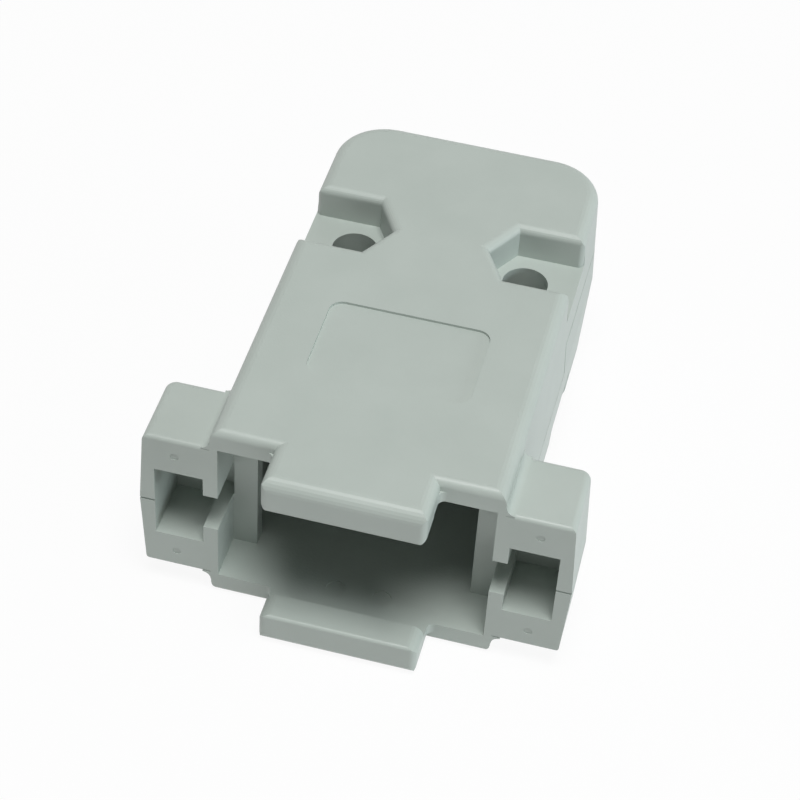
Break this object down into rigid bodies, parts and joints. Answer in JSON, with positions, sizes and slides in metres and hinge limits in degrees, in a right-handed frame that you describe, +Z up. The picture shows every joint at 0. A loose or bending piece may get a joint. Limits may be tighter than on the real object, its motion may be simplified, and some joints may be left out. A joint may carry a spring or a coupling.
{
  "type": "d-sub hood",
  "caption": "Plastic hood in two shells for a D-shaped connector, with jackscrew ears, hooked tabs over the connector, nut pockets and a cable clamp inside.",
  "frame": {"origin": "middle of the bounding box's underside, which is the face the hood lies on", "axes": "+X across both ears, +Y from the connector opening back to the cable exit, +Z up through both shells; the connector opening faces -Y"},
  "size_m": [0.0306, 0.0396, 0.0163],
  "materials": {
    "hood_plastic": "fine spark-eroded grain",
    "clamp_steel": "zinc-plated",
    "screw_steel": "zinc-plated"
  },
  "bodies": {
    "root": {"upper_shell": "hood_plastic", "lower_shell": "hood_plastic", "clamp_upper": "clamp_steel", "clamp_lower": "clamp_steel", "clamp_screw_left": "screw_steel", "clamp_screw_right": "screw_steel"}
  },
  "joints": []
}
